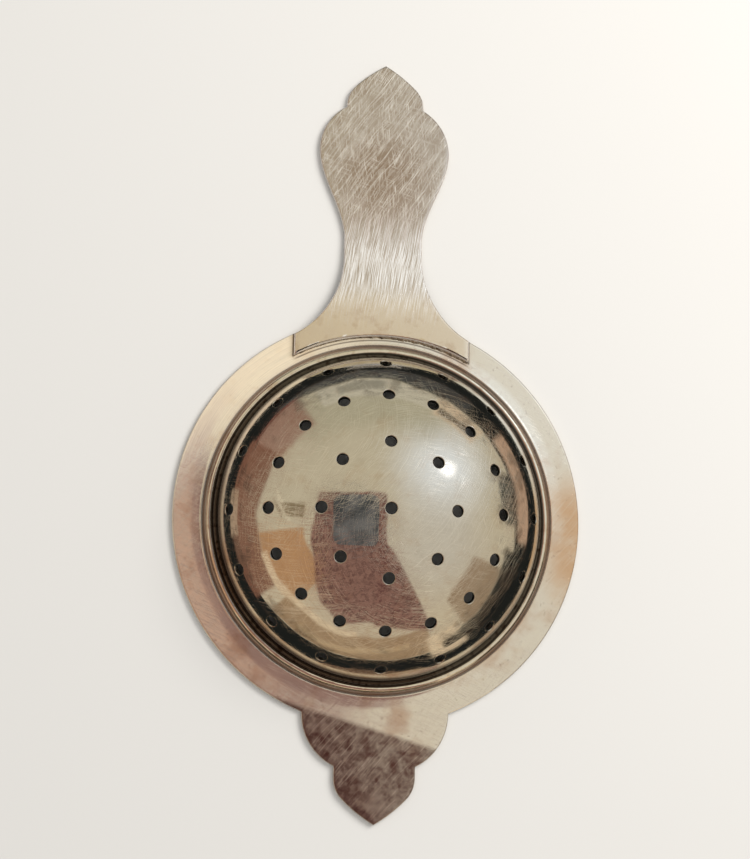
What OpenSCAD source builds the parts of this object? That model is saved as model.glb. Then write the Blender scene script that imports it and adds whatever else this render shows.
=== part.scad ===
// Over-the-cup tea strainer: a pierced silver bowl soldered to a flat rim plate,
// with a waisted handle on one side and a short rest tab on the other.
// It lies dome up. The bowl's axis is Z, the handle points along +Y and z = 0 is the table.

/* [Rim plate] */
// Outside diameter of the round rim
rim_d = 72; // [68:1:76]
// Thickness of the rim plate and its tab
plate_t = 1; // [0.8:0.1:1.2]
// Width of the flat outer band, out from the soft break line
band_w = 3.1; // [2.6:0.1:3.6]
// How far the inner part of the plate is dished up from the outer band
dish = 0.2; // [0.1:0.05:0.4]

/* [Bowl] */
// Diameter of the bowl where it meets the plate
bowl_d = 57; // [55:0.5:58]
// Radius of the bowl's broad crown
crown_r = 41.7; // [39:0.1:46]
// Radius of the tighter shoulder that turns the crown down to the plate
shoulder_r = 9.7; // [9:0.1:12]
// Wall thickness of the bowl
bowl_t = 0.8; // [0.7:0.1:1.2]
// Diameter of the straining holes
hole_d = 2; // [1.6:0.1:2.3]

/* [Collar] */
// Width of the half-round collar wire round the bowl
collar_w = 1.3; // [1:0.1:1.5]
// Gap between the bowl and the collar, filled with solder
collar_gap = 0.45; // [0.3:0.05:0.6]
// Straight height of the collar wire below its round top
collar_base = 0.25; // [0.1:0.05:0.5]

/* [Rest tab] */
// Distance from the bowl's axis to the tab's tip
tab_reach = 52.5; // [51:0.5:54]
// Radius of the two round shoulders of the tab
tab_shoulder_r = 10; // [9:0.5:11]
// Half the width of the tab at its shoulders
tab_half_w = 12.8; // [12:0.1:13.5]

/* [Handle] */
// Distance from the bowl's axis to the handle's tip
handle_reach = 83.5; // [82:0.5:86]
// Thickness of the handle plate
handle_t = 1; // [0.9:0.1:1.5]
// Half the width of the handle's waist
waist_half_w = 7.1; // [6.5:0.1:7.5]
// Half the width of the handle at its widest
wide_half_w = 11.9; // [11:0.1:12.5]
// Radius of the sweep from the waist out to the rim
root_sweep_r = 17; // [16:0.5:18]
// Half the width of the saddle soldered to the rim
saddle_half_w = 15.65; // [15:0.05:16]
// Radial width of the saddle
saddle_w = 3.6; // [3.2:0.1:4]

/* [Pointed lobes] */
// Half the width of the pointed lobe that ends the handle and the tab
lobe_half_w = 7.1; // [7:0.05:7.5]
// Radius of the lobe's two corners
lobe_corner_r = 5.2; // [4.5:0.1:5.5]
// Radius of the two flanks that meet in the lobe's point
lobe_flank_r = 26; // [20:1:40]

/* [Hidden] */
$fn = 96;
eps = 0.01;

// Rim plate: heights of its faces and radii of its steps
rim_r = rim_d / 2;
band_r = rim_r - band_w;
seat_z = plate_t + dish;

// Bowl: the shoulder stands upright on the seat, and runs smoothly into the crown
// where both are tilted by join_tilt from the axis
bowl_base_r = bowl_d / 2;
shoulder_x = bowl_base_r - shoulder_r;
join_tilt = asin(shoulder_x / (crown_r - shoulder_r));
crown_z = seat_z - (crown_r - shoulder_r) * cos(join_tilt);
mouth_r = bowl_base_r - bowl_t;

// Straining holes: one at the top, then rings of holes at these angles from the axis
ring_angles = [16, 28.8, 52];
ring_counts = [8, 16, 16];
hole_spare = 2;

// Collar: centre line and outside of the wire
collar_in_r = bowl_base_r + collar_gap;
collar_mid_r = collar_in_r + collar_w / 2;
collar_out_r = collar_in_r + collar_w;
solder_h = 0.9;

// Tab and handle: stations along Y, counted from the bowl's axis
tab_root_y = band_r - 3;
tab_y = 33.7;
waist_y0 = 47;
waist_y1 = 50.2;
wide_y = 67;
handle_shoulder_r = 9.5;
lobe_len = 16;

// Saddle and its solder seam
saddle_in_r = rim_r - saddle_w;
seam_w = 0.6;
seam_h = 0.6;

// The handle bends down from the rim plate to the table between these stations
bend_y0 = rim_r + 1;
bend_y1 = bend_y0 + 14;
bend_steps = 16;

function smooth(t) = t * t * (3 - 2 * t);

function mix(a, b, t) = a + (b - a) * t;

// Points along an arc about centre c, from angle a to angle b
function arc(c, r, a, b, n) =
    [for (i = [0:n]) c + r * [cos(mix(a, b, i / n)), sin(mix(a, b, i / n))]];

// The same points on the other side of the Y axis, in reverse order
function mirrored(pts) = [for (i = [len(pts) - 1:-1:0]) [-pts[i].x, pts[i].y]];

// Points of half the pointed lobe that ends at (0, reach), from its right side to its point
function half_lobe(reach) =
    let (
        corner_x = lobe_half_w - lobe_corner_r,
        // The corner arc turns into the flatter flank arc at 45 degrees
        flank_x = corner_x + (lobe_corner_r - lobe_flank_r) * cos(45),
        point_a = acos(-flank_x / lobe_flank_r),
        flank_y = reach - lobe_flank_r * sin(point_a),
        corner_y = flank_y + (lobe_flank_r - lobe_corner_r) * sin(45)
    )
    concat(
        [[lobe_half_w, reach - lobe_len]],
        arc([corner_x, corner_y], lobe_corner_r, 0, 42, 12),
        arc([flank_x, flank_y], lobe_flank_r, 45, point_a, 8)
    );

// Points of one round shoulder beside the lobe, from its widest place in to the lobe
function shoulder(half_w, y, r) =
    let (c = [half_w - r, y])
    arc(c, r, 0, acos((lobe_half_w - c.x) / r), 20);

// Right-hand side of the handle below its lobe, from the saddle's inner corner
function half_handle() =
    let (
        sweep_c = [waist_half_w + root_sweep_r, waist_y0],
        sweep_start = 180 + acos((sweep_c.x - saddle_half_w) / root_sweep_r),
        saddle_y = sqrt(saddle_in_r * saddle_in_r - saddle_half_w * saddle_half_w)
    )
    concat(
        [[saddle_half_w, saddle_y]],
        arc(sweep_c, root_sweep_r, sweep_start, 180, 24),
        [for (i = [0:19])
            [mix(waist_half_w, wide_half_w, smooth(i / 20)), mix(waist_y1, wide_y, i / 20)]],
        shoulder(wide_half_w, wide_y, handle_shoulder_r)
    );

// A shape with its right-hand side given, closed by the mirror image of that side
module symmetric(side) {
    polygon(concat(side, mirrored(side)));
}

module handle_outline() {
    difference() {
        union() {
            symmetric(half_handle());
            symmetric(half_lobe(handle_reach));
        }
        circle(r = saddle_in_r, $fn = 180);
    }
}

module tab_outline() {
    mirror([0, 1]) {
        symmetric(concat([[tab_half_w, tab_root_y]], shoulder(tab_half_w, tab_y, tab_shoulder_r)));
        symmetric(half_lobe(tab_reach));
    }
}

// Height of the handle's underside above the table at a distance y from the axis
function handle_z(y) =
    plate_t * (1 - smooth(min(1, max(0, (y - bend_y0) / (bend_y1 - bend_y0)))));

// Side view of the bent handle plate, in Y and Z
module handle_profile() {
    ys = concat(
        [0],
        [for (i = [0:bend_steps]) mix(bend_y0, bend_y1, i / bend_steps)],
        [handle_reach + 1]
    );
    polygon(concat(
        [for (y = ys) [y, handle_z(y)]],
        [for (i = [len(ys) - 1:-1:0]) [ys[i], handle_z(ys[i]) + handle_t]]
    ));
}

module collar_section() {
    translate([collar_in_r, seat_z]) square([collar_w, collar_base]);
    intersection() {
        translate([collar_mid_r, seat_z + collar_base]) circle(r = collar_w / 2);
        translate([collar_in_r, seat_z]) square(2 * collar_w);
    }
}

module rim_section() {
    edge = plate_t / 2;
    polygon([
        [mouth_r, dish],
        [collar_out_r, dish],
        [band_r, 0],
        [rim_r - edge, 0],
        [rim_r - edge, plate_t],
        [band_r, plate_t],
        [collar_out_r, seat_z],
        [mouth_r, seat_z]
    ]);
    translate([rim_r - edge, edge]) circle(r = edge);
}

module rim_plate() {
    color("burlywood") {
        rotate_extrude() rim_section();
        difference() {
            linear_extrude(plate_t) tab_outline();
            translate([0, 0, -eps]) cylinder(r = rim_r - plate_t / 2, h = plate_t + 2 * eps);
        }
    }
}

// Part of the bowl's wall: a band on a circle about c, between two angles from the axis
module wall_section(c, r, tilt_a, tilt_b) {
    intersection() {
        translate(c) difference() {
            circle(r = r, $fn = 360);
            circle(r = r - bowl_t, $fn = 360);
        }
        polygon([
            c,
            c + 2 * r * [sin(tilt_a), cos(tilt_a)],
            c + 2 * r * [sin(tilt_b), cos(tilt_b)]
        ]);
    }
}

// A straining hole, drilled square to the wall
module hole(tilt, turn) {
    on_crown = tilt < join_tilt;
    r = on_crown ? crown_r : shoulder_r;
    rotate([0, 0, turn])
        translate(on_crown ? [0, 0, crown_z] : [shoulder_x, 0, seat_z])
            rotate([0, tilt, 0])
                translate([0, 0, r - bowl_t - hole_spare])
                    cylinder(d = hole_d, h = bowl_t + 2 * hole_spare, $fn = 32);
}

module strainer_bowl() {
    color("lightgray")
        difference() {
            rotate_extrude() {
                wall_section([0, crown_z], crown_r, 0, join_tilt);
                wall_section([shoulder_x, seat_z], shoulder_r, join_tilt, 90);
            }
            hole(0, 0);
            for (ring = [0:len(ring_angles) - 1])
                for (i = [0:ring_counts[ring] - 1])
                    hole(ring_angles[ring], 90 + i * 360 / ring_counts[ring]);
        }
}

module collar_wire() {
    color("silver") rotate_extrude() collar_section();
}

module bowl_solder() {
    color("gray")
        rotate_extrude()
            difference() {
                polygon([
                    [mouth_r, seat_z],
                    [collar_mid_r, seat_z],
                    [collar_in_r + collar_w / 4, seat_z + collar_base + collar_w / 3],
                    [mouth_r, seat_z + solder_h]
                ]);
                collar_section();
                translate([shoulder_x, seat_z]) circle(r = shoulder_r, $fn = 360);
            }
}

module handle() {
    color("tan")
        intersection() {
            linear_extrude(plate_t + handle_t) handle_outline();
            rotate([90, 0, 90])
                translate([0, 0, -rim_r]) linear_extrude(rim_d) handle_profile();
        }
}

module handle_solder() {
    span = 2 * asin(saddle_half_w / saddle_in_r);
    color("dimgray")
        rotate([0, 0, 90 - span / 2])
            rotate_extrude(angle = span)
                polygon([
                    [saddle_in_r - seam_w, plate_t],
                    [saddle_in_r, plate_t],
                    [saddle_in_r, plate_t + seam_h]
                ]);
}

rim_plate();
strainer_bowl();
collar_wire();
bowl_solder();
handle();
handle_solder();
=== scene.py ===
"""Over-the-cup tea strainer, dome up on a pale floor.

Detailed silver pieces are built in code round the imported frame: lengths are in millimetres in
the outlines and sections, and become metres when a mesh is made.
"""

import math

import bmesh
import bpy
from mathutils import Matrix, Vector, noise
from mathutils.geometry import delaunay_2d_cdt


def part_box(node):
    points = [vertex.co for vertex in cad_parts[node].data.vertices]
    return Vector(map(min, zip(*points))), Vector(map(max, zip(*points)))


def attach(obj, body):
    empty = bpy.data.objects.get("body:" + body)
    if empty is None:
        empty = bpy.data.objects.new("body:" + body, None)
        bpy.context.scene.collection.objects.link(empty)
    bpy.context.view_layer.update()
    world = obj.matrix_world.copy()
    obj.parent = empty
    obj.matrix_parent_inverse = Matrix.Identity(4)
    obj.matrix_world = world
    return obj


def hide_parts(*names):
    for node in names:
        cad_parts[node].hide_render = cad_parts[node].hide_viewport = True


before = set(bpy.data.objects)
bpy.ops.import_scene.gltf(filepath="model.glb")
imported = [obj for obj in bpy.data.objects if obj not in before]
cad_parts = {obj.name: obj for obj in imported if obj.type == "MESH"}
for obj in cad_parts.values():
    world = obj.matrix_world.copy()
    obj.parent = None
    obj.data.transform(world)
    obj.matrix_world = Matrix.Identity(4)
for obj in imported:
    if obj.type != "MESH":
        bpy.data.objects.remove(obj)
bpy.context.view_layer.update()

MM = 0.001
BODY = "root"


def node_box(node):
    """The lowest and highest corners of a CAD node, in millimetres."""
    low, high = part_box(node)
    return Vector(low) / MM, Vector(high) / MM


PLATE_LOW, PLATE_HIGH = node_box("rim_plate")
BOWL_HIGH = node_box("strainer_bowl")[1]
COLLAR_HIGH = node_box("collar_wire")[1]
SOLDER_HIGH = node_box("bowl_solder")[1]
HANDLE_HIGH = node_box("handle")[1]
SEAM_HIGH = node_box("handle_solder")[1]

# Rim plate and tab
RIM_R = PLATE_HIGH.x
SEAT_Z = PLATE_HIGH.z
PLATE_T = 1.0
DISH = SEAT_Z - PLATE_T
BAND_W = 3.1
BAND_R = RIM_R - BAND_W
BREAK_SOFT = 0.5
TAB_REACH = -PLATE_LOW.y
TAB_HALF_W = 12.8
TAB_SHOULDER_R = 10.0
TAB_Y = 33.7
EDGE_R = 0.36

# Bowl
BOWL_BASE_R = BOWL_HIGH.x
BOWL_T = 0.8
CROWN_R = 41.7
SHOULDER_R = 9.7
SHOULDER_X = BOWL_BASE_R - SHOULDER_R
JOIN_TILT = math.asin(SHOULDER_X / (CROWN_R - SHOULDER_R))
CROWN_Z = SEAT_Z - (CROWN_R - SHOULDER_R) * math.cos(JOIN_TILT)
MOUTH_R = BOWL_BASE_R - BOWL_T
HOLE_R = 1.0
HOLE_LIP = 0.14
HOLE_RINGS = ((0.0, 1), (16.0, 8), (28.8, 16), (52.0, 16))

# Collar
COLLAR_OUT_R = COLLAR_HIGH.x
COLLAR_W = 1.3
COLLAR_MID_R = COLLAR_OUT_R - COLLAR_W / 2
COLLAR_TOP_Z = COLLAR_HIGH.z
GROOVE_W = 0.7
GROOVE_DEPTH = 0.22
GROOVE_LIP_H = 0.05
TURNED_POINTS = 360

# Handle
HANDLE_REACH = HANDLE_HIGH.y
SADDLE_HALF_W = HANDLE_HIGH.x
SADDLE_IN_R = SEAM_HIGH.y
HANDLE_T = 1.0
SEAM_W = 0.6
SEAM_RISE = 0.55
WAIST_HALF_W = 7.1
WAIST_Y = (47.0, 50.2)
WIDE_HALF_W = 11.9
WIDE_Y = 67.0
HANDLE_SHOULDER_R = 9.5
ROOT_SWEEP_R = 17.0
BEND_Y = (RIM_R + 1, RIM_R + 15)

# Pointed lobes that end the handle and the tab
LOBE_HALF_W = 7.1
LOBE_CORNER_R = 5.2
LOBE_FLANK_R = 26.0


# ---------------------------------------------------------------- outlines

def smooth(t):
    t = min(1.0, max(0.0, t))
    return t * t * (3 - 2 * t)


def mix(a, b, t):
    return a + (b - a) * t


def arc(centre, radius, start, end, steps):
    """Points on an arc, from one angle to another, in degrees."""
    angles = [math.radians(mix(start, end, i / steps)) for i in range(steps + 1)]
    return [(centre[0] + radius * math.cos(a), centre[1] + radius * math.sin(a)) for a in angles]


def half_lobe(reach):
    """Right-hand side of a pointed lobe, up to its point at (0, reach)."""
    corner_x = LOBE_HALF_W - LOBE_CORNER_R
    flank_x = corner_x + (LOBE_CORNER_R - LOBE_FLANK_R) * math.cos(math.radians(45))
    point_a = math.degrees(math.acos(-flank_x / LOBE_FLANK_R))
    flank_y = reach - LOBE_FLANK_R * math.sin(math.radians(point_a))
    corner_y = flank_y + (LOBE_FLANK_R - LOBE_CORNER_R) * math.sin(math.radians(45))
    corner = arc((corner_x, corner_y), LOBE_CORNER_R, 0, 42, 12)
    return corner + arc((flank_x, flank_y), LOBE_FLANK_R, 45, point_a, 16)


def shoulder(half_w, y, radius):
    """A round shoulder, from its widest place in to the lobe."""
    centre_x = half_w - radius
    end = math.degrees(math.acos((LOBE_HALF_W - centre_x) / radius))
    return arc((centre_x, y), radius, 0, end, 28)


def half_handle():
    """Right-hand side of the handle, from the saddle's inner corner to the tip."""
    sweep_x = WAIST_HALF_W + ROOT_SWEEP_R
    start = 180 + math.degrees(math.acos((sweep_x - SADDLE_HALF_W) / ROOT_SWEEP_R))
    saddle_y = math.sqrt(SADDLE_IN_R**2 - SADDLE_HALF_W**2)
    waist = [
        (mix(WAIST_HALF_W, WIDE_HALF_W, smooth(i / 40)), mix(WAIST_Y[1], WIDE_Y, i / 40))
        for i in range(40)
    ]
    return (
        [(SADDLE_HALF_W, saddle_y)]
        + arc((sweep_x, WAIST_Y[0]), ROOT_SWEEP_R, start, 180, 32)
        + waist
        + shoulder(WIDE_HALF_W, WIDE_Y, HANDLE_SHOULDER_R)
        + half_lobe(HANDLE_REACH)
    )


def half_tab():
    """Side of the tab on +X, counted outward from the rim, to its tip."""
    return shoulder(TAB_HALF_W, TAB_Y, TAB_SHOULDER_R) + half_lobe(TAB_REACH)


def resampled(points, step):
    """The same line with long stretches divided, keeping every point."""
    out = [points[0]]
    for a, b in zip(points, points[1:]):
        n = max(1, math.ceil(math.dist(a, b) / step))
        out += [(mix(a[0], b[0], i / n), mix(a[1], b[1], i / n)) for i in range(1, n + 1)]
    return out


def inward_normals(loop):
    """Unit vectors into a counter-clockwise outline, one per point, lengthened at corners."""
    out = []
    for i, p in enumerate(loop):
        before = Vector(p) - Vector(loop[i - 1])
        after = Vector(loop[(i + 1) % len(loop)]) - Vector(p)
        a = Vector((-before.y, before.x)).normalized()
        b = Vector((-after.y, after.x)).normalized()
        mean = (a + b).normalized()
        out.append(mean / max(0.6, mean.dot(a)))
    return out


# ---------------------------------------------------------------- mesh making

def new_mesh(name, verts, faces, material, node):
    """Makes a piece from points in millimetres, and has it replace its CAD node."""
    mesh = bpy.data.meshes.new(name)
    mesh.from_pydata([Vector(v) * MM for v in verts], [], faces)
    shaped = bmesh.new()
    shaped.from_mesh(mesh)
    bmesh.ops.recalc_face_normals(shaped, faces=shaped.faces)
    shaped.to_mesh(mesh)
    shaped.free()
    mesh.materials.append(material)
    mesh.polygons.foreach_set("use_smooth", [True] * len(mesh.polygons))
    piece = bpy.data.objects.new(name, mesh)
    bpy.context.scene.collection.objects.link(piece)
    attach(piece, BODY)
    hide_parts(node)
    return piece


def ring_faces(rows, count):
    """Quads between successive rings of count points each, the last joined to the first."""
    faces = []
    for j in range(rows):
        a, b = j * count, (j + 1) % rows * count
        for i in range(count):
            k = (i + 1) % count
            faces.append((a + i, a + k, b + k, b + i))
    return faces


def quarter_round(inset, z_flat, z_side, steps):
    """(inset, z) pairs round an edge, from the flat face to the side."""
    out = []
    for i in range(steps + 1):
        a = math.radians(90 * i / steps)
        out.append((inset * (1 - math.sin(a)), mix(z_side, z_flat, math.cos(a))))
    return out


# ---------------------------------------------------------------- rim plate

def soft_break(r):
    """Height that the dish adds at a radius: a slope inside the band, with a soft break."""
    slope = DISH / (BAND_R - COLLAR_OUT_R)
    x = BAND_R - r
    if x < -BREAK_SOFT:
        return 0.0
    if x < BREAK_SOFT:
        return slope * (x + BREAK_SOFT) ** 2 / (4 * BREAK_SOFT)
    return min(DISH, slope * x)


def plate_top(r):
    """Height of the plate's upper face, with the groove round the collar."""
    t = (r - COLLAR_OUT_R) / GROOVE_W
    groove = GROOVE_DEPTH * math.sin(math.pi * t) ** 2 if 0 < t < 1 else 0.0
    lip = GROOVE_LIP_H * math.exp(-(((r - COLLAR_OUT_R - GROOVE_W - 0.12) / 0.14) ** 2))
    return PLATE_T + soft_break(r) - groove + lip


def plate_outline():
    """The round rim and the tab as one counter-clockwise outline, from the tab's tip."""
    tab = resampled(half_tab(), 0.45)
    junction = math.degrees(math.asin(TAB_HALF_W / RIM_R))
    right = [(x, -y) for x, y in reversed(tab)]
    left = [(-x, -y) for x, y in tab]
    rim = arc((0, 0), RIM_R, -90 + junction, 270 - junction, 300)
    return right + rim[1:-1] + left[:-1]


def make_rim_plate(material):
    outline = plate_outline()
    inward = inward_normals(outline)
    count = len(outline)
    groove = [COLLAR_OUT_R + GROOVE_W * i / 8 for i in range(9)]
    lip = [groove[-1] + 0.06 * i for i in range(1, 6)]
    band = [mix(lip[-1], BAND_R - BREAK_SOFT, i / 4) for i in range(1, 5)]
    soft = [BAND_R + BREAK_SOFT * i / 4 for i in range(-3, 5)]
    radii = [MOUTH_R, COLLAR_MID_R] + groove + lip + band + soft + [BAND_R + 1.2, RIM_R - 1.0]
    half = PLATE_T / 2
    edge = quarter_round(EDGE_R, PLATE_T, half + 0.14, 5)
    under_edge = [(inset, PLATE_T - z) for inset, z in reversed(edge)]

    def inset_point(i, inset):
        return Vector(outline[i]) + inward[i] * inset

    rings = []
    for r in radii:
        rings.append([Vector(p).normalized() * r for p in outline])
    steps = 12
    start = rings[-1]
    for j in range(1, steps):
        rings.append([mix(start[i], inset_point(i, EDGE_R), j / steps) for i in range(count)])
    heights = [plate_top(r) for r in radii] + [PLATE_T] * (steps - 1)
    for inset, z in edge + under_edge:
        rings.append([inset_point(i, inset) for i in range(count)])
        heights.append(z)
    for r in (RIM_R - 1.0, BAND_R + BREAK_SOFT, BAND_R - BREAK_SOFT, COLLAR_OUT_R, MOUTH_R):
        rings.append([Vector(p).normalized() * r for p in outline])
        heights.append(soft_break(r))
    verts = [(p.x, p.y, z) for ring, z in zip(rings, heights) for p in ring]
    faces = ring_faces(len(rings), count)
    return new_mesh("rim_plate_silver", verts, faces, material, "rim_plate")


# ---------------------------------------------------------------- bowl

def wall_point(tilt, turn, depth=0.0):
    """A point of the bowl, depth in from its outer face, where that face leans by tilt."""
    if tilt < JOIN_TILT:
        r = (CROWN_R - depth) * math.sin(tilt)
        z = CROWN_Z + (CROWN_R - depth) * math.cos(tilt)
    else:
        r = SHOULDER_X + (SHOULDER_R - depth) * math.sin(tilt)
        z = SEAT_Z + (SHOULDER_R - depth) * math.cos(tilt)
    return Vector((r * math.cos(turn), r * math.sin(turn), z))


def wall_normal(tilt, turn):
    return Vector((math.sin(tilt) * math.cos(turn), math.sin(tilt) * math.sin(turn),
                   math.cos(tilt)))


def arc_length(tilt):
    """Length of the outer face from the top down to where it leans by tilt."""
    return CROWN_R * min(tilt, JOIN_TILT) + SHOULDER_R * max(0.0, tilt - JOIN_TILT)


def lean(length):
    """How far the outer face leans at an arc length from the top."""
    crown = CROWN_R * JOIN_TILT
    return min(length / CROWN_R, JOIN_TILT) + max(0.0, length - crown) / SHOULDER_R


def laid_flat(point, on_crown):
    """A point near the outer face, laid flat: its distance out is the arc length."""
    r = math.hypot(point.x, point.y)
    turn = math.atan2(point.y, point.x)
    if on_crown:
        tilt = math.atan2(r, point.z - CROWN_Z)
    else:
        tilt = math.atan2(r - SHOULDER_X, point.z - SEAT_Z)
    length = arc_length(tilt)
    return Vector((length * math.cos(turn), length * math.sin(turn)))


def make_bowl(material):
    """The pierced bowl: both faces share one flat triangulation, with a lip round each hole."""
    base_length = arc_length(math.pi / 2)
    spacing = 0.7
    ring_points = 40
    edge_points = 288
    lip_r = HOLE_R + HOLE_LIP
    holes = []
    for tilt, count in HOLE_RINGS:
        for i in range(count):
            turn = math.radians(90 - 360 * i / count)
            holes.append((math.radians(tilt), turn))
    centres = [wall_point(*h) for h in holes]
    axes = [wall_normal(*h) for h in holes]
    flat = []
    for i in range(edge_points):
        a = 2 * math.pi * i / edge_points
        flat.append(Vector((base_length * math.cos(a), base_length * math.sin(a))))
    edge = list(range(edge_points))
    edges = [(i, (i + 1) % edge_points) for i in edge]
    loops = []
    for (tilt, turn), centre, axis in zip(holes, centres, axes):
        side = Vector((-math.sin(turn), math.cos(turn), 0))
        up = side.cross(axis)
        loop = []
        for i in range(ring_points):
            a = 2 * math.pi * i / ring_points
            loop.append(len(flat))
            rim = centre + (side * math.cos(a) + up * math.sin(a)) * lip_r
            flat.append(laid_flat(rim, tilt < JOIN_TILT))
        edges += [(loop[i], loop[(i + 1) % ring_points]) for i in range(ring_points)]
        loops.append(loop)
    # Free points on rings, kept clear of the holes
    rings = int(base_length / spacing)
    for ring in range(1, rings):
        length = base_length * ring / rings
        tilt = lean(length)
        r = wall_point(tilt, 0).x
        n = max(6, round(2 * math.pi * r / spacing))
        for i in range(n):
            a = 2 * math.pi * (i + 0.5 * (ring % 2)) / n
            point = wall_point(tilt, a)
            if all((point - c).length > lip_r + 0.35 for c in centres):
                flat.append(Vector((length * math.cos(a), length * math.sin(a))))
    result = delaunay_2d_cdt(flat, edges, [], 0, 1e-6)
    points, triangles, origins = result[0], result[2], result[3]
    where = {old: new for new, olds in enumerate(origins) for old in olds}
    edge = [where[i] for i in edge]
    loops = [[where[i] for i in loop] for loop in loops]
    hole_of = {i: n for n, loop in enumerate(loops) for i in loop}
    # A triangle with its three corners on one hole's loop fills that hole
    keep = []
    for t in triangles:
        inside = {hole_of.get(i) for i in t}
        if len(inside) > 1 or None in inside:
            keep.append(tuple(t))
    base = len(points)
    verts, normals = [], []
    for depth, sign in ((0.0, 1.0), (BOWL_T, -1.0)):
        for p in points:
            tilt = min(lean(p.length), math.pi / 2)
            turn = math.atan2(p.y, p.x)
            verts.append(wall_point(tilt, turn, depth))
            normals.append(wall_normal(tilt, turn) * sign)
    faces = list(keep) + [tuple(base + i for i in reversed(t)) for t in keep]
    for i in range(edge_points):
        a, b = edge[i], edge[(i + 1) % edge_points]
        faces.append((b, a, base + a, base + b))
    # Round each hole's rim over into its wall, and out again inside
    steps = 4
    turns = [90 * k / steps for k in range(1, steps + 1)]
    profile = [(math.radians(a), False) for a in turns]
    profile += [(math.radians(a), True) for a in reversed(turns)]
    for centre, axis, loop in zip(centres, axes, loops):
        rows = [loop]
        for a, inside in profile:
            radius = HOLE_R + HOLE_LIP * (1 - math.sin(a))
            depth = HOLE_LIP * (1 - math.cos(a))
            row = []
            for i in loop:
                out = verts[i] - centre
                radial = (out - axis * out.dot(axis)).normalized()
                start = verts[base + i] - centre if inside else out
                along = start.dot(axis) + (depth if inside else -depth)
                row.append(len(verts))
                verts.append(centre + axis * along + radial * radius)
                up = -axis if inside else axis
                normals.append(up * math.cos(a) - radial * math.sin(a))
            rows.append(row)
        rows.append([base + i for i in loop])
        for upper, lower in zip(rows, rows[1:]):
            for i in range(ring_points):
                k = (i + 1) % ring_points
                faces.append((upper[i], upper[k], lower[k], lower[i]))
    piece = new_mesh("strainer_bowl_silver", verts, faces, material, "strainer_bowl")
    piece.data.normals_split_custom_set_from_vertices([tuple(n) for n in normals])
    return piece


# ---------------------------------------------------------------- collar and solder

def revolved(name, section, count, wobble, seed, material, node):
    """A closed section (r, z) turned round Z, with a little hand-made unevenness."""
    verts = []
    rows = len(section)
    for r, z in section:
        for i in range(count):
            a = 2 * math.pi * i / count
            p = Vector((math.cos(a), math.sin(a), 0))
            n = noise.noise(p * 9 + Vector((seed, 0, r * 0.8))) * wobble
            fine = noise.noise(p * 60 + Vector((seed, z * 3, r * 3))) * wobble * 0.35
            free = 1.0 if z > SEAT_Z + 0.05 else 0.0
            d = (n + fine) * free
            verts.append((p.x * (r + d * 0.5), p.y * (r + d * 0.5), z + min(d, 0.0)))
    return new_mesh(name, verts, ring_faces(rows, count), material, node)


def make_collar(material):
    r = COLLAR_W / 2
    base = COLLAR_TOP_Z - r
    section = [(COLLAR_MID_R + r, SEAT_Z)]
    section += [(x, z) for x, z in arc((COLLAR_MID_R, base), r, 0, 180, 18)]
    section += [(COLLAR_MID_R - r, SEAT_Z)]
    return revolved("collar_wire_silver", section, TURNED_POINTS, 0.035, 3.1, material,
                    "collar_wire")


def make_bowl_solder(material):
    """The fillet between the collar and the bowl, a little hollow on top."""
    inner = COLLAR_MID_R - COLLAR_W / 2
    low = (BOWL_BASE_R, SEAT_Z)
    top_z = SOLDER_HIGH.z
    top = (SHOULDER_X + math.sqrt(SHOULDER_R**2 - (top_z - SEAT_Z) ** 2), top_z)
    bead = (COLLAR_MID_R - COLLAR_W * 0.36, SEAT_Z + 0.62)
    section = [low, (inner + 0.1, SEAT_Z), (inner + 0.1, SEAT_Z + 0.3), bead]
    for i in range(1, 8):
        t = i / 8
        sag = 0.14 * math.sin(math.pi * t)
        section.append((mix(bead[0], top[0], t), mix(bead[1], top[1], t) - sag))
    section.append(top)
    return revolved("bowl_solder_fillet", section, TURNED_POINTS, 0.03, 7.7, material,
                    "bowl_solder")


# ---------------------------------------------------------------- handle

def handle_low(y):
    """Height of the handle's underside: it bends down from the plate to the table."""
    return PLATE_T * (1 - smooth((y - BEND_Y[0]) / (BEND_Y[1] - BEND_Y[0])))


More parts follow.
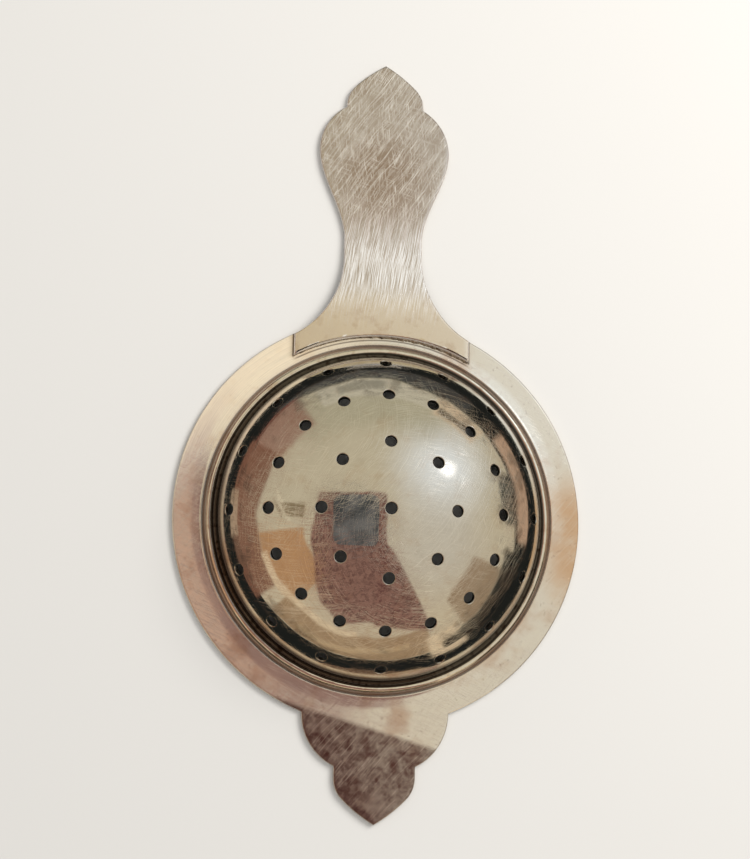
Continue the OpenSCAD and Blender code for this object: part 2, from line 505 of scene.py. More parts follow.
def make_handle(material):
    """A grid of rows across the handle, closed by a rounded edge and an underside."""
    # The point itself is left out, as the last row curves up to it
    side = resampled(half_handle(), 0.4)[:-1]
    columns = 44
    rows = len(side)
    bend_end = BEND_Y[1] - 4
    tip_start = HANDLE_REACH - 6
    tip_rise = HANDLE_REACH - side[-1][1]

    def row_point(j, s, left, right):
        """A point of row j, at s from -1 to 1 between the row's two ends."""
        y = side[j][1]
        x = mix(left[0], right[0], (s + 1) / 2)
        end_y = mix(left[1], right[1], (s + 1) / 2)
        saddle = 1 - smooth((y - side[0][1]) / (bend_end - side[0][1]))
        arc_y = math.sqrt(SADDLE_IN_R**2 - (SADDLE_HALF_W * s) ** 2) - side[0][1]
        tip = smooth((y - tip_start) / (side[-1][1] - tip_start))
        return (x, end_y + saddle * arc_y + tip * tip_rise * (1 - s * s))

    first = [row_point(0, mix(-1, 1, i / columns), (-side[0][0], side[0][1]), side[0])
             for i in range(columns + 1)]
    last = [row_point(rows - 1, mix(-1, 1, i / columns), (-side[-1][0], side[-1][1]), side[-1])
            for i in range(columns + 1)]
    # The outline, counter-clockwise from the saddle's left inner corner
    outline = first + side[1:-1] + list(reversed(last)) + [(-x, y) for x, y in reversed(side[1:-1])]
    inward = inward_normals(outline)
    count = len(outline)

    def inset_point(k, inset):
        p = Vector(outline[k]) + inward[k] * inset
        return (p.x, p.y)

    # Index in the outline of each border point of the grid
    border = {}
    for i in range(columns + 1):
        border[0, i] = i
    for j in range(1, rows - 1):
        border[j, columns] = columns + j
        border[j, 0] = count - j
    for i in range(columns + 1):
        border[rows - 1, i] = columns + rows - 2 + (columns + 1 - i)
    verts, index = [], {}
    for j in range(rows):
        left = inset_point(border[j, 0], EDGE_R)
        right = inset_point(border[j, columns], EDGE_R)
        for i in range(columns + 1):
            if (j, i) in border:
                x, y = inset_point(border[j, i], EDGE_R)
            else:
                x, y = row_point(j, mix(-1, 1, i / columns), left, right)
            index[j, i] = len(verts)
            verts.append((x, y, handle_low(y) + HANDLE_T))
    faces = []
    for j in range(rows - 1):
        for i in range(columns):
            faces.append((index[j, i], index[j, i + 1], index[j + 1, i + 1], index[j + 1, i]))
    top_count = len(verts)
    for x, y, z in verts[:top_count]:
        verts.append((x, y, z - HANDLE_T))
    faces += [tuple(top_count + i for i in reversed(f)) for f in faces]
    ring = [None] * count
    for key, k in border.items():
        ring[k] = index[key]
    loops = [ring]
    profile = quarter_round(EDGE_R, HANDLE_T, HANDLE_T / 2 + 0.14, 5)
    under = [(inset, HANDLE_T - z) for inset, z in reversed(profile)]
    for inset, z in (profile + under)[1:-1]:
        loop = []
        for k in range(count):
            x, y = inset_point(k, inset)
            loop.append(len(verts))
            verts.append((x, y, handle_low(y) + z))
        loops.append(loop)
    loops.append([top_count + i for i in ring])
    for upper, lower in zip(loops, loops[1:]):
        for k in range(count):
            m = (k + 1) % count
            faces.append((upper[k], lower[k], lower[m], upper[m]))
    return new_mesh("handle_silver", verts, faces, material, "handle")


def make_handle_solder(material):
    """The uneven seam of solder along the saddle's inner arc."""
    span = math.asin(SADDLE_HALF_W / SADDLE_IN_R)
    count = 260
    section = 7
    verts, faces = [], []
    foot = SEAM_HIGH.y - SEAM_W
    for i in range(count + 1):
        a = mix(-span, span, i / count)
        p = Vector((math.sin(a), math.cos(a)))
        bump = 0.75 + 0.35 * noise.noise(Vector((i * 0.11, 2.0, 0))) \
            + 0.3 * noise.noise(Vector((i * 0.45, 5.0, 0)))
        full = 0.45 + 0.4 * smooth((i / count - 0.35) / 0.2)
        size = max(0.22, min(1.0, bump * full))
        for k in range(section):
            b = math.radians(90 * k / (section - 1))
            r = SADDLE_IN_R - SEAM_W * size * math.cos(b)
            z = PLATE_T + SEAM_RISE * size * math.sin(b)
            r = max(foot, r + 0.1 * math.sin(2 * b))
            verts.append((p.x * r, p.y * r, z))
        verts.append((p.x * SADDLE_IN_R, p.y * SADDLE_IN_R, PLATE_T))
    n = section + 1
    for i in range(count):
        for k in range(n):
            m = (k + 1) % n
            faces.append((i * n + k, (i + 1) * n + k, (i + 1) * n + m, i * n + m))
    faces.append(tuple(range(n)))
    faces.append(tuple(count * n + k for k in reversed(range(n))))
    return new_mesh("handle_solder_seam", verts, faces, material, "handle_solder")


# ---------------------------------------------------------------- node graphs

class Graph:
    """Short ways to add and join nodes."""

    def __init__(self, tree):
        self.tree = tree
        tree.nodes.clear()

    def add(self, kind, inputs=None, **settings):
        node = self.tree.nodes.new(kind)
        for key, value in settings.items():
            setattr(node, key, value)
        for key, value in (inputs or {}).items():
            self.join(value, node.inputs[key])
        return node

    def join(self, value, socket):
        if isinstance(value, bpy.types.NodeSocket):
            self.tree.links.new(value, socket)
        else:
            socket.default_value = value

    def math(self, operation, a, b=0.0, c=0.0):
        node = self.add("ShaderNodeMath", {0: a, 1: b, 2: c}, operation=operation)
        return node.outputs[0]

    def ramp(self, value, start, end, low=0.0, high=1.0):
        """A smooth step from low at start to high at end."""
        inputs = {"Value": value, "From Min": start, "From Max": end, "To Min": low, "To Max": high}
        node = self.add("ShaderNodeMapRange", inputs, interpolation_type="SMOOTHSTEP")
        return node.outputs["Result"]

    def mix(self, factor, a, b, blend="MIX"):
        node = self.add("ShaderNodeMix", data_type="RGBA", blend_type=blend)
        self.join(factor, node.inputs[0])
        self.join(a, node.inputs[6])
        self.join(b, node.inputs[7])
        return node.outputs[2]

    def vector(self, x, y, z):
        return self.add("ShaderNodeCombineXYZ", {0: x, 1: y, 2: z}).outputs[0]

    def split(self, vector):
        return self.add("ShaderNodeSeparateXYZ", {0: vector}).outputs

    def scaled(self, vector, scale):
        node = self.add("ShaderNodeVectorMath", {0: vector, 1: scale}, operation="MULTIPLY")
        return node.outputs[0]

    def noise(self, vector, scale, detail=2.0, roughness=0.5, distortion=0.0):
        inputs = {"Vector": vector, "Scale": scale, "Detail": detail,
                  "Roughness": roughness, "Distortion": distortion}
        return self.add("ShaderNodeTexNoise", inputs).outputs["Fac"]


def srgb(r, g, b, gain=1.0):
    """A colour given as 0 to 255 sRGB, as the linear colour that the nodes use."""
    def linear(v):
        v /= 255
        return v / 12.92 if v <= 0.04045 else ((v + 0.055) / 1.055) ** 2.4
    return (linear(r) * gain, linear(g) * gain, linear(b) * gain, 1.0)


# ---------------------------------------------------------------- materials

class Silver(Graph):
    """A silver surface: its own place in millimetres, its scratches and its tarnish."""

    def __init__(self, name):
        self.material = bpy.data.materials.new(name)
        self.material.use_nodes = True
        super().__init__(self.material.node_tree)
        place = self.add("ShaderNodeTexCoord").outputs["Object"]
        self.place = self.scaled(place, (1 / MM, 1 / MM, 1 / MM))
        self.x, self.y, self.z = self.split(self.place)
        self.r = self.math("SQRT", self.math("ADD", self.math("MULTIPLY", self.x, self.x),
                                             self.math("MULTIPLY", self.y, self.y)))
        self.cos = self.math("DIVIDE", self.x, self.r)
        self.sin = self.math("DIVIDE", self.y, self.r)
        self.heights = []

    def strokes(self, angle, length, width, seed, bend=0.0):
        """A field of strokes along one direction, each about length by width in size."""
        a = math.radians(angle)
        along = self.math("MULTIPLY_ADD", self.x, math.cos(a) / length,
                          self.math("MULTIPLY", self.y, math.sin(a) / length))
        across = self.math("MULTIPLY_ADD", self.y, math.cos(a) / width,
                           self.math("MULTIPLY", self.x, -math.sin(a) / width))
        if bend:
            warp = self.noise(self.place, 0.12, 1.0)
            across = self.math("MULTIPLY_ADD", warp, bend / width, across)
        return self.vector(along, across, seed)

    def scratches(self, angle, length, width, amount, seed, bend=1.2):
        """Thin separate scratches along one direction: 1 on a scratch, 0 elsewhere."""
        cut = self.noise(self.strokes(angle, length, width, seed, bend), 1.0, 0.0)
        return self.ramp(cut, 1 - amount, 1 - amount + 0.06)

    def arcs(self, centre, width, length, amount, seed):
        """Thin scratches that swirl round a centre."""
        dx = self.math("SUBTRACT", self.x, centre[0])
        dy = self.math("SUBTRACT", self.y, centre[1])
        r = self.math("SQRT", self.math("ADD", self.math("MULTIPLY", dx, dx),
                                        self.math("MULTIPLY", dy, dy)))
        turn = self.math("MULTIPLY", self.math("ARCTAN2", dy, dx), 6.0 / length)
        wobble = self.math("MULTIPLY", self.noise(self.place, 0.2, 1.0), 1.2)
        cells = self.vector(self.math("DIVIDE", self.math("ADD", r, wobble), width), turn, seed)
        return self.ramp(self.noise(cells, 1.0, 0.0), 1 - amount, 1 - amount + 0.05)

    def edge(self):
        """1 on the rounded edges, which get a painted highlight, and 0 on the flat faces."""
        normal = self.add("ShaderNodeTexCoord").outputs["Normal"]
        return self.ramp(self.math("ABSOLUTE", self.split(normal)[2]), 0.55, 0.93, 1.0, 0.0)

    def raise_by(self, height, depth):
        """Adds height (0 to 1) to the bump, depth in millimetres."""
        self.heights.append(self.math("MULTIPLY", height, depth))

    def finish(self, colour, roughness, metallic=1.0):
        shader = self.add("ShaderNodeBsdfPrincipled")
        self.join(metallic, shader.inputs["Metallic"])
        self.join(colour, shader.inputs["Base Color"])
        self.join(roughness, shader.inputs["Roughness"])
        if self.heights:
            total = self.heights[0]
            for height in self.heights[1:]:
                total = self.math("ADD", total, height)
            bump = self.add("ShaderNodeBump", {"Strength": 1.0, "Distance": MM, "Height": total})
            self.join(bump.outputs[0], shader.inputs["Normal"])
        out = self.add("ShaderNodeOutputMaterial")
        self.tree.links.new(shader.outputs[0], out.inputs["Surface"])
        return self.material


def near(graph, value, centre, width):
    """1 at the centre of a value, falling to 0 at width on either side."""
    away = graph.math("ABSOLUTE", graph.math("SUBTRACT", value, centre))
    return graph.ramp(away, 0.0, width, 1.0, 0.0)


def plate_silver():
    g = Silver("plate_silver")
    ring = g.vector(g.math("MULTIPLY", g.cos, 3.0), g.math("MULTIPLY", g.sin, 3.0),
                    g.math("MULTIPLY", g.r, 5.0))
    streaks = g.noise(ring, 1.4, 3.0, 0.6)
    haze = g.noise(g.place, 0.11, 3.0, 0.6)
    specks = g.noise(g.place, 1.3, 3.0, 0.65)
    fine = g.scratches(48, 5.0, 0.08, 0.36, 1.7)
    cross = g.scratches(-24, 4.0, 0.07, 0.34, 4.1)
    g.raise_by(streaks, 0.004)
    g.raise_by(fine, -0.003)
    g.raise_by(cross, -0.003)
    g.raise_by(g.noise(g.place, 0.35, 1.0), 0.008)
    clean = srgb(252, 248, 240)
    brown = srgb(206, 160, 124)
    tarnish = g.ramp(haze, 0.5, 0.72)
    colour = g.mix(g.math("MULTIPLY", tarnish, 0.5), clean, brown)
    rusty = g.math("MULTIPLY", g.ramp(g.x, 27.0, 34.0), g.ramp(g.y, 12.0, 2.0))
    rusty = g.math("MULTIPLY", rusty, g.ramp(g.y, -18.0, -8.0))
    patchy = g.ramp(g.noise(g.place, 0.16, 3.0, 0.55, 0.4), 0.2, 0.6, 0.4, 1.0)
    colour = g.mix(g.math("MULTIPLY", rusty, g.math("MULTIPLY", patchy, 0.75)), colour,
                   srgb(226, 178, 130))
    spots = g.ramp(specks, 0.6, 0.74)
    colour = g.mix(g.math("MULTIPLY", spots, 0.3), colour, srgb(150, 112, 90))
    # The tab is painted dark beyond a slanting line: a painted reflection of dark surroundings
    tab = g.ramp(g.math("MULTIPLY_ADD", g.x, 0.3, g.y), -36.0, -37.2)
    mottle = g.ramp(g.noise(g.place, 0.6, 3.0, 0.65), 0.3, 0.75, 0.6, 1.0)
    colour = g.mix(g.math("MULTIPLY", tab, mottle), colour, srgb(106, 72, 68))
    # The fine scratches are real marks in the bump; their lighter colour is a painted glint
    colour = g.mix(g.math("MULTIPLY", fine, 0.35), colour, srgb(255, 252, 246))
    # The upper left is painted paler and less of a mirror: a painted sheen of light there
    upper_left_sheen = g.math("MULTIPLY_ADD", g.x, -0.64, g.math("MULTIPLY", g.y, 0.77))
    upper_left_sheen = g.math("MULTIPLY", g.ramp(upper_left_sheen, 22.0, 34.0), g.ramp(streaks, 0.2, 0.7, 0.6, 1.0))
    colour = g.mix(g.math("MULTIPLY", upper_left_sheen, 0.6), colour, srgb(250, 228, 190))
    # Painted highlight along the rounded edges
    edge = g.edge()
    colour = g.mix(g.math("MULTIPLY", edge, 0.7), colour, srgb(255, 246, 230))
    # Painted shade: a dark line along the groove beside the collar
    crease = near(g, g.r, COLLAR_OUT_R + 0.28, 0.5)
    colour = g.mix(g.math("MULTIPLY", crease, 0.85), colour, srgb(110, 76, 52))
    # Painted shade beside the saddle's two ends and along its inner arc
    ends = g.math("MULTIPLY", near(g, g.math("ABSOLUTE", g.x), SADDLE_HALF_W + 0.12, 0.3),
                  g.math("MULTIPLY", g.ramp(g.y, 27.8, 28.4), g.ramp(g.y, 33.6, 32.6)))
    seam = g.math("MULTIPLY", near(g, g.r, SADDLE_IN_R - 0.62, 0.24),
                  g.ramp(g.y, 27.4, 28.2))
    joint_shade = g.math("MAXIMUM", ends, g.math("MULTIPLY", seam, 0.8))
    colour = g.mix(g.math("MULTIPLY", joint_shade, 0.9), colour, srgb(74, 48, 36))
    roughness = g.math("ADD", g.ramp(streaks, 0.3, 0.8, 0.09, 0.17),
                       g.math("MULTIPLY", tarnish, 0.08))
    roughness = g.math("ADD", roughness, g.math("MULTIPLY", crease, 0.2))
    roughness = g.math("ADD", roughness, g.math("MULTIPLY", tab, 0.06))
    # The paler upper left and the edges are also made partly matt, which brightens them as part of
    # their painted sheen and highlight
    matt = g.math("MULTIPLY_ADD", upper_left_sheen, 0.45, 0.05)
    matt = g.math("MAXIMUM", matt, g.math("MULTIPLY", edge, 0.6))
    return g.finish(colour, roughness, g.math("SUBTRACT", 1.0, matt))


def bowl_silver():
    g = Silver("bowl_silver")
    swirl = g.arcs((6.0, -3.0), 0.08, 1.6, 0.34, 2.2)
    sweep = g.arcs((-14.0, 16.0), 0.07, 2.4, 0.32, 9.4)
    cross = g.scratches(60, 4.0, 0.06, 0.31, 6.3)
    level = g.scratches(-8, 5.0, 0.06, 0.31, 1.9)
    for scratch in (swirl, sweep, cross, level):
        g.raise_by(scratch, -0.002)
    g.raise_by(g.noise(g.place, 0.16, 1.0), 0.012)
    haze = g.noise(g.place, 0.3, 3.0, 0.6)
    colour = g.mix(g.ramp(haze, 0.5, 0.8, 0.0, 0.4), srgb(228, 224, 217), srgb(206, 184, 162))
    marks = g.math("MAXIMUM", g.math("MAXIMUM", swirl, sweep), g.math("MAXIMUM", cross, level))
    # The scratches are real marks in the bump; their lighter colour is a painted glint
    colour = g.mix(g.math("MULTIPLY", marks, 0.5), colour, srgb(255, 252, 246))
    # The bowl's foot is painted dark: a painted reflection that makes the dark ring round its root
    foot = g.ramp(g.z, SEAT_Z + 4.6, SEAT_Z + 3.0)
    colour = g.mix(g.math("MULTIPLY", foot, 0.93), colour, srgb(44, 38, 33))
    # The unseen inside is given a brown tea stain
    deep = g.math("SUBTRACT", g.z, CROWN_Z)
    out = g.math("SQRT", g.math("ADD", g.math("MULTIPLY", g.r, g.r),
                                g.math("MULTIPLY", deep, deep)))
    inside = g.math("MULTIPLY", g.ramp(out, CROWN_R - 0.15, CROWN_R - 0.4),
                    g.ramp(g.r, SHOULDER_X + 4.6, SHOULDER_X + 4.2))
    colour = g.mix(g.math("MULTIPLY", inside, 0.8), colour, srgb(96, 78, 62))
    roughness = g.math("MULTIPLY_ADD", marks, 0.05, g.ramp(haze, 0.35, 0.8, 0.02, 0.045))
    return g.finish(colour, roughness)


def wire_silver():
    g = Silver("wire_silver")
    ring = g.vector(g.math("MULTIPLY", g.cos, 14.0), g.math("MULTIPLY", g.sin, 14.0),
                    g.math("MULTIPLY", g.z, 2.0))
    wear = g.noise(ring, 1.0, 3.0, 0.6)
    g.raise_by(wear, 0.02)
    g.raise_by(g.noise(g.place, 2.2, 2.0), 0.006)
    colour = g.mix(g.ramp(wear, 0.45, 0.75, 0.0, 0.5), srgb(253, 249, 240), srgb(206, 172, 138))
    # Painted shade along both edges of the wire, where it meets the plate and the solder
    outside = near(g, g.r, COLLAR_OUT_R + 0.05, 0.25)
    inside = near(g, g.r, COLLAR_OUT_R - COLLAR_W + 0.05, 0.22)
    joint_shade = g.math("MAXIMUM", outside, inside)
    colour = g.mix(g.math("MULTIPLY", joint_shade, 0.85), colour, srgb(84, 58, 42))
    roughness = g.ramp(wear, 0.3, 0.8, 0.07, 0.14)
    return g.finish(colour, roughness)


def solder_silver():
    g = Silver("solder")
    pits = g.noise(g.place, 1.1, 3.0, 0.55)
    g.raise_by(pits, 0.03)
    colour = g.mix(g.ramp(pits, 0.5, 0.68), srgb(244, 236, 222), srgb(116, 88, 66))
    # The fillet is painted dark where it runs up the bowl: a painted reflection, part of the dark
    # ring round the bowl's root
    foot = g.ramp(g.r, COLLAR_MID_R - COLLAR_W * 0.22, COLLAR_MID_R - COLLAR_W * 0.4)
    colour = g.mix(g.math("MULTIPLY", foot, 0.9), colour, srgb(40, 33, 27))
    roughness = g.ramp(pits, 0.3, 0.8, 0.12, 0.26)
    return g.finish(colour, roughness)


def handle_silver():
    g = Silver("handle_silver")
    wide = g.ramp(g.y, 50.0, 58.0)
    brushed = g.noise(g.strokes(80, 5.0, 0.15, 2.0, 0.8), 1.0, 3.0, 0.65)
    hairs = g.scratches(79, 6.0, 0.1, 0.42, 5.2, 0.8)
    # The brushed neck's streaks run out raggedly at both ends
    reach = g.math("MULTIPLY_ADD", brushed, 16.0, -8.0)
    neck = g.math("MULTIPLY", g.ramp(g.math("SUBTRACT", g.y, reach), 55.0, 45.0),
                  g.ramp(g.math("ADD", g.y, reach), 34.0, 45.0))
    satin = g.noise(g.strokes(56, 2.4, 0.15, 6.0, 1.0), 1.0, 3.0, 0.6)
    long = g.scratches(53, 12.0, 0.08, 0.33, 3.3)
    short = g.scratches(60, 4.0, 0.07, 0.34, 8.8)
    cross = g.scratches(-18, 4.0, 0.06, 0.3, 5.9)
    steep = g.scratches(96, 2.4, 0.06, 0.32, 7.4)
    g.raise_by(g.math("MULTIPLY", brushed, g.math("MULTIPLY_ADD", neck, 0.85, 0.15)), 0.012)
    g.raise_by(g.math("MULTIPLY", satin, wide), 0.0025)
    marks = long
    for scratch in (short, cross, steep):
        marks = g.math("MAXIMUM", marks, scratch)
    marks = g.math("MULTIPLY", marks, g.math("MULTIPLY_ADD", wide, 0.9, 0.1))
    g.raise_by(marks, -0.004)
    g.raise_by(g.noise(g.place, 0.3, 2.0), 0.006)
    mottle = g.noise(g.place, 0.5, 4.0, 0.6)
    # A duller, browner patch in the middle of the wide part
    away = g.math("SQRT", g.math("ADD", g.math("MULTIPLY", g.x, g.x),
                                 g.math("POWER", g.math("SUBTRACT", g.y, 62.0), 2.0)))
    dull = g.ramp(g.math("MULTIPLY_ADD", mottle, 8.0, away), 16.0, 6.0)
    grey = g.mix(g.ramp(mottle, 0.36, 0.68, 0.0, 0.4), srgb(214, 206, 202), srgb(182, 164, 152))
    grey = g.mix(g.math("MULTIPLY", dull, 0.75), grey, srgb(172, 150, 134))
    root = g.ramp(g.y, 45.0, 38.0)
    colour = g.mix(root, grey, srgb(252, 241, 226))
    stains = g.ramp(g.noise(g.place, 0.35, 4.0, 0.6), 0.5, 0.75)
    colour = g.mix(g.math("MULTIPLY", root, g.math("MULTIPLY", stains, 0.3)), colour,
                   srgb(190, 150, 112))
    # The scratches are real marks in the bump; their near white colour is a painted glint
    colour = g.mix(g.math("MULTIPLY", marks, 0.8), colour, srgb(255, 252, 248))
    # The brushed neck is painted pale along its streaks: a painted sheen of light
    streaks = g.ramp(brushed, 0.34, 0.62)
    pale = g.mix(streaks, srgb(192, 182, 170), srgb(250, 250, 252))
    colour = g.mix(neck, colour, pale)
    # Painted highlight along the rounded edges
    edge = g.edge()
    colour = g.mix(g.math("MULTIPLY", edge, 0.7), colour, srgb(255, 248, 238))
    roughness = g.math("MULTIPLY_ADD", marks, 0.08, g.ramp(mottle, 0.35, 0.75, 0.17, 0.24))
    # The neck, scratches and edges are made partly matt, so that they are brighter: part of their
    # painted sheen, glint and highlight
    matt = g.math("MULTIPLY", neck, g.ramp(streaks, 0.0, 1.0, 0.15, 0.42))
    matt = g.math("MAXIMUM", matt, g.math("MULTIPLY", marks, 0.24))
    hairy = g.math("MULTIPLY", g.ramp(g.y, 60.0, 54.0), g.ramp(g.y, 34.0, 46.0))
    matt = g.math("MAXIMUM", matt, g.math("MULTIPLY", g.math("MULTIPLY", hairs, 0.5), hairy))
    matt = g.math("MAXIMUM", matt, g.math("MULTIPLY", edge, 0.7))
    return g.finish(colour, roughness, g.math("SUBTRACT", 1.0, matt))


# ---------------------------------------------------------------- surroundings

class Surroundings(Graph):
    """What the silver mirrors: soft cards placed by their angles from straight up."""

    def __init__(self, material):
        super().__init__(material.node_tree)
        place = self.add("ShaderNodeTexCoord").outputs["Object"]
        node = self.add("ShaderNodeVectorMath", {0: place}, operation="NORMALIZE")
        self.direction = node.outputs[0]
        ripple = self.noise(self.direction, 2.4, 2.0)
        x, y, z = self.split(self.direction)
        flat = self.math("SQRT", self.math("ADD", self.math("MULTIPLY", x, x),
                                           self.math("MULTIPLY", y, y)))
        flat = self.math("MAXIMUM", flat, 1e-4)
        tilt = self.math("DEGREES", self.math("ARCTAN2", flat, z))
        self.tilt = self.math("ADD", tilt, self.math("MULTIPLY_ADD", ripple, 8.0, -4.0))
        self.u = self.math("MULTIPLY", self.math("DIVIDE", x, flat), self.tilt)
        self.v = self.math("MULTIPLY", self.math("DIVIDE", y, flat), self.tilt)

    def card(self, corners, soft):
        """A convex card, its corners listed counter-clockwise in (u, v) degrees."""
        inside = None
        for (u0, v0), (u1, v1) in zip(corners, corners[1:] + corners[:1]):
            length = math.hypot(u1 - u0, v1 - v0)
            a, b = -(v1 - v0) / length, (u1 - u0) / length
            c = -(a * u0 + b * v0)
            away = self.math("MULTIPLY_ADD", self.u, a, self.math("MULTIPLY_ADD", self.v, b, c))
            inside = away if inside is None else self.math("SMOOTH_MIN", inside, away, soft * 2)
        return self.ramp(inside, -soft, soft)

    def disc(self, centre, radius, soft):
        du = self.math("SUBTRACT", self.u, centre[0])
        dv = self.math("SUBTRACT", self.v, centre[1])
        away = self.math("SQRT", self.math("ADD", self.math("MULTIPLY", du, du),
                                           self.math("MULTIPLY", dv, dv)))
        return self.ramp(away, radius - soft, radius + soft, 1.0, 0.0)

    def band(self, tilts, turns, soft):
        """Part of a band round the horizon, between two angles and two bearings."""
        t = math.radians((turns[0] + turns[1]) / 2)
        along = self.math("MULTIPLY_ADD", self.u, math.cos(t),
                          self.math("MULTIPLY", self.v, math.sin(t)))
        across = self.math("MULTIPLY_ADD", self.v, math.cos(t),
                           self.math("MULTIPLY", self.u, -math.sin(t)))
        bearing = self.math("DEGREES", self.math("ARCTAN2", across, along))
        off = self.math("ABSOLUTE", bearing)
        half = (turns[1] - turns[0]) / 2
        sides = self.ramp(off, half - soft, half + soft, 1.0, 0.0)
        low = self.ramp(self.tilt, tilts[0] - soft, tilts[0] + soft)
        high = self.ramp(self.tilt, tilts[1] - soft, tilts[1] + soft, 1.0, 0.0)
        return self.math("MULTIPLY", sides, self.math("MULTIPLY", low, high))

    def finish(self, colour):
        """Joins the colour to a light that only mirrors show, and that lights nothing else."""
        light = self.add("ShaderNodeEmission", {"Color": colour, "Strength": 1.0})
        out = self.add("ShaderNodeOutputMaterial")
        self.tree.links.new(light.outputs[0], out.inputs["Surface"])


def mirrored_only(name, verts, faces):
    """A staged card or shell, in millimetres, that shows only in mirror reflections."""
    material = bpy.data.materials.new(name)
    material.use_nodes = True
    material.cycles.emission_sampling = "NONE"
    mesh = bpy.data.meshes.new(name)
    mesh.from_pydata([Vector(v) * MM for v in verts], [], faces)
    mesh.materials.append(material)
    thing = bpy.data.objects.new(name, mesh)
    bpy.context.scene.collection.objects.link(thing)
    thing.visible_camera = False
    thing.visible_diffuse = False
    thing.visible_shadow = False
    thing.visible_transmission = False
    thing.visible_volume_scatter = False
    return material


def make_shell():
    """A shell as far off as the camera, painted with soft cards for the silver to mirror."""
    radius = 285.0
    across, down = 48, 24
    verts = [(0, 0, radius), (0, 0, -radius)]
    for j in range(1, down):
        t = math.pi * j / down
        for i in range(across):
            a = 2 * math.pi * i / across
            verts.append((radius * math.sin(t) * math.cos(a), radius * math.sin(t) * math.sin(a),
                          radius * math.cos(t)))
    faces = []
    for i in range(across):
        k = (i + 1) % across
        faces.append((0, 2 + i, 2 + k))
        last = 2 + (down - 2) * across
        faces.append((1, last + k, last + i))
        for j in range(down - 2):
            a, b = 2 + j * across, 2 + (j + 1) * across
            faces.append((a + i, b + i, b + k, a + k))
    g = Surroundings(mirrored_only("shell", verts, faces))
    dark = srgb(34, 36, 34)
    room = g.mix(g.ramp(g.v, -60.0, 60.0), srgb(216, 203, 176), srgb(206, 197, 172))
    sky = g.mix(g.ramp(g.tilt, 76.0, 77.6), room, dark)
    grain = g.noise(g.direction, 9.0, 3.0, 0.6)
    veins = g.noise(g.direction, 26.0, 3.0, 0.7, 0.6)
    bits = g.noise(g.direction, 7.0, 2.0)
    rose = g.mix(g.ramp(veins, 0.44, 0.56), srgb(150, 112, 100), srgb(112, 78, 72))
    patches = (
        (g.disc((34, 27), 17, 19), srgb(232, 240, 246, 1.25), 0.9),
        (g.disc((36, 27), 2.6, 3.6), srgb(255, 255, 255, 3.4), 0.85),
        (g.disc((32, -10), 22, 16), srgb(212, 209, 200), 0.6),
        (g.band((50, 74), (55, 130), 8), srgb(176, 172, 146), 0.6),
        (g.band((66, 76), (62, 112), 1.0), srgb(212, 206, 186), 0.9),
        (g.band((77, 88), (50, 128), 1.2), srgb(84, 84, 82), 0.8),
        (g.band((70, 75), (84, 104), 1.2), srgb(110, 108, 98), 0.6),
        (g.band((64, 76), (40, 62), 1.4), srgb(226, 204, 174), 0.9),
        (g.band((66, 70), (42, 60), 0.9), srgb(100, 90, 78), 0.85),
        (g.band((58, 82), (120, 146), 1.8), srgb(146, 92, 80), 0.7),
        (g.band((60, 90), (144, 214), 1.4), srgb(138, 98, 80), 0.95),
        (g.band((78, 96), (166, 186), 1.4), srgb(190, 166, 140), 0.9),
        (g.band((78, 92), (186, 200), 1.4), srgb(120, 92, 76), 0.8),
        (g.band((36, 60), (186, 228), 1.2), srgb(194, 148, 104), 0.92),
        (g.band((57, 61), (196, 264), 1.0), srgb(238, 216, 182), 0.9),
        (g.band((60, 76), (222, 300), 1.0), srgb(172, 144, 112), 0.95),
        (g.band((66, 69), (236, 290), 0.8), srgb(206, 180, 142), 0.8),
        (g.band((66, 92), (298, 314), 1.5), srgb(240, 218, 184), 0.95),
        (g.band((70, 79), (2, 22), 1.4), srgb(70, 72, 68), 0.9),
        (g.band((79, 90), (-4, 36), 1.6), srgb(214, 180, 152), 0.85),
        (g.band((54, 72), (-44, -16), 1.4), srgb(150, 122, 94), 0.75),
        (g.band((72, 80), (-56, -8), 1.2), dark, 0.95),
        (g.card([(-54, 22), (-50, 5), (-33, -24), (-31, -22), (-48, 6), (-52, 22)], 0.8),
         srgb(128, 102, 74), 0.7),
        (g.card([(-52, 24), (-48, 6), (-31, -22), (-29, -20), (-45, 8), (-49, 24)], 0.8),
         srgb(238, 226, 198), 0.8),
        (g.card([(-48, 9), (-45, 2), (-36, 1), (-36, 9)], 0.8), srgb(130, 110, 80), 0.8),
        (g.card([(-28, 14), (-32, -12), (-27, -42), (-17, -52), (8, -53), (5, 13)], 0.9),
         rose, 0.96),
        (g.card([(2, -10), (2, -54), (34, -54), (8, -13)], 0.9), rose, 0.96),
        (g.card([(-13, 8), (-12, -4), (-4, -8), (1, -8), (0, 8)], 0.8), srgb(198, 162, 138), 0.9),
    )
    for mask, colour, strength in patches:
        sky = g.mix(g.math("MULTIPLY", mask, strength), sky, colour)
    shade = g.mix(grain, srgb(232, 229, 226), srgb(255, 255, 255))
    sky = g.mix(1.0, sky, shade, "MULTIPLY")
    horizon = g.math("MULTIPLY", g.ramp(g.tilt, 62.0, 70.0), g.ramp(g.tilt, 96.0, 86.0))
    busy = g.math("MULTIPLY", horizon, g.ramp(bits, 0.52, 0.62))
    sky = g.mix(g.math("MULTIPLY", busy, 0.5), sky, srgb(74, 62, 52))
    g.finish(sky)


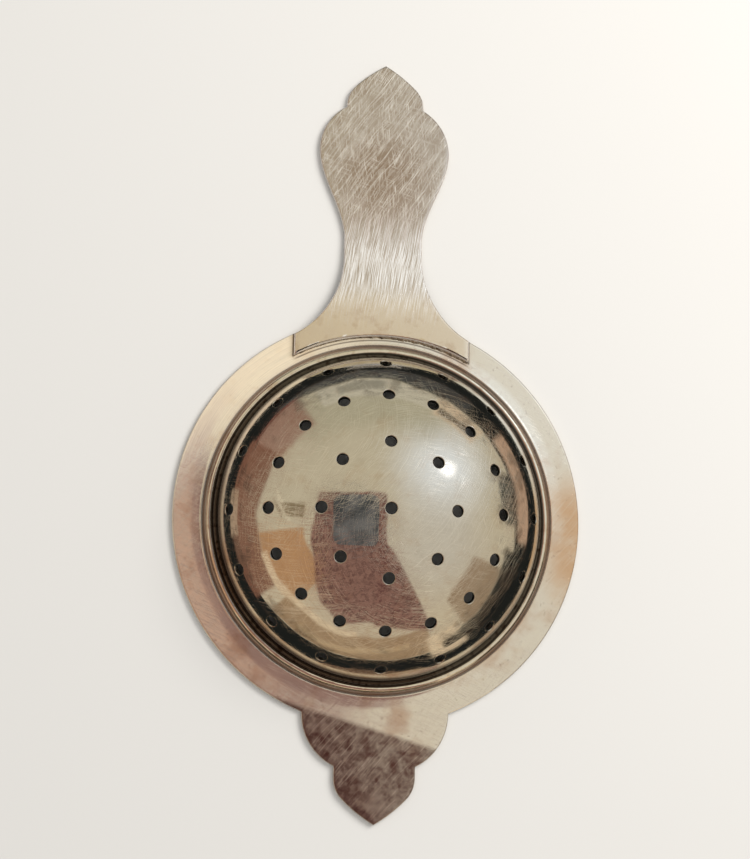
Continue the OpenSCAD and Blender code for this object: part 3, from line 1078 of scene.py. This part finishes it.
def make_dark_card():
    """A small dark card low over the bowl."""
    x, y, z = (-26.0, -0.5), (-16.0, 12.0), 60.0
    corner_r = 4.0
    left, right = x[0] + corner_r, x[1] - corner_r
    low, high = y[0] + corner_r, y[1] - corner_r
    points = []
    for centre, start in (((right, low), 270), ((right, high), 0),
                          ((left, high), 90), ((left, low), 180)):
        points += arc(centre, corner_r, start, start + 90, 8)
    verts = [(px, py, z) for px, py in points]
    g = Surroundings(mirrored_only("dark_card", verts, [tuple(range(len(verts)))]))
    blotch = g.noise(g.direction, 6.0, 3.0, 0.6)
    g.finish(g.mix(g.ramp(blotch, 0.35, 0.7), srgb(70, 72, 72), srgb(118, 116, 114)))


def make_world():
    """Plain soft light from all round."""
    world = bpy.data.worlds.new("studio")
    bpy.context.scene.world = world
    world.use_nodes = True
    g = Graph(world.node_tree)
    light = g.add("ShaderNodeBackground", {"Color": (0.93, 0.92, 0.9, 1.0), "Strength": 0.85})
    out = g.add("ShaderNodeOutputWorld")
    g.tree.links.new(light.outputs[0], out.inputs["Surface"])


def make_floor():
    material = bpy.data.materials.new("floor")
    material.use_nodes = True
    g = Graph(material.node_tree)
    shader = g.add("ShaderNodeBsdfPrincipled", {"Base Color": (0.62, 0.61, 0.59, 1.0),
                                                "Roughness": 0.9})
    out = g.add("ShaderNodeOutputMaterial")
    g.tree.links.new(shader.outputs[0], out.inputs["Surface"])
    mesh = bpy.data.meshes.new("floor")
    half = 3.0
    mesh.from_pydata([(-half, -half, 0), (half, -half, 0), (half, half, 0), (-half, half, 0)],
                     [], [(0, 1, 2, 3)])
    mesh.materials.append(material)
    floor = bpy.data.objects.new("floor", mesh)
    bpy.context.scene.collection.objects.link(floor)
    floor.visible_glossy = False


def aim(thing, place, target, up=(0, 0, 1)):
    """Puts a thing at a place in millimetres, its -Z axis towards the target."""
    back = (Vector(place) - Vector(target)).normalized()
    right = Vector(up).cross(back).normalized()
    over = back.cross(right)
    turn = Matrix((right, over, back)).transposed().to_4x4()
    thing.matrix_world = Matrix.Translation(Vector(place) * MM) @ turn


def make_lights():
    key = bpy.data.lights.new("key", "AREA")
    key.shape = "DISK"
    key.size = 0.35
    key.energy = 3.0
    key.color = (1.0, 0.97, 0.93)
    lamp = bpy.data.objects.new("key", key)
    bpy.context.scene.collection.objects.link(lamp)
    aim(lamp, (330, 240, 380), (0, 15, 0))
    lamp.visible_glossy = False


def make_camera():
    """A phone's view from nearly above, the handle pointing up the picture."""
    camera = bpy.data.cameras.new("camera")
    camera.lens = 65.54
    camera.sensor_fit = "AUTO"
    camera.sensor_width = 36.0
    camera.clip_start = 0.01
    seen = bpy.data.objects.new("camera", camera)
    bpy.context.scene.collection.objects.link(seen)
    place = Vector((-35.84, -28.8, 271.66))
    view = Vector((0.1263, 0.1608, -0.9789))
    aim(seen, place, place + view * 275, up=(-0.038, 0.9868, 0.1572))
    bpy.context.scene.camera = seen


make_world()
make_shell()
make_dark_card()
make_floor()
make_lights()
make_camera()
solder = solder_silver()
make_rim_plate(plate_silver())
make_bowl(bowl_silver())
make_collar(wire_silver())
make_bowl_solder(solder)
make_handle(handle_silver())
make_handle_solder(solder)
bpy.context.scene.view_settings.view_transform = "Standard"
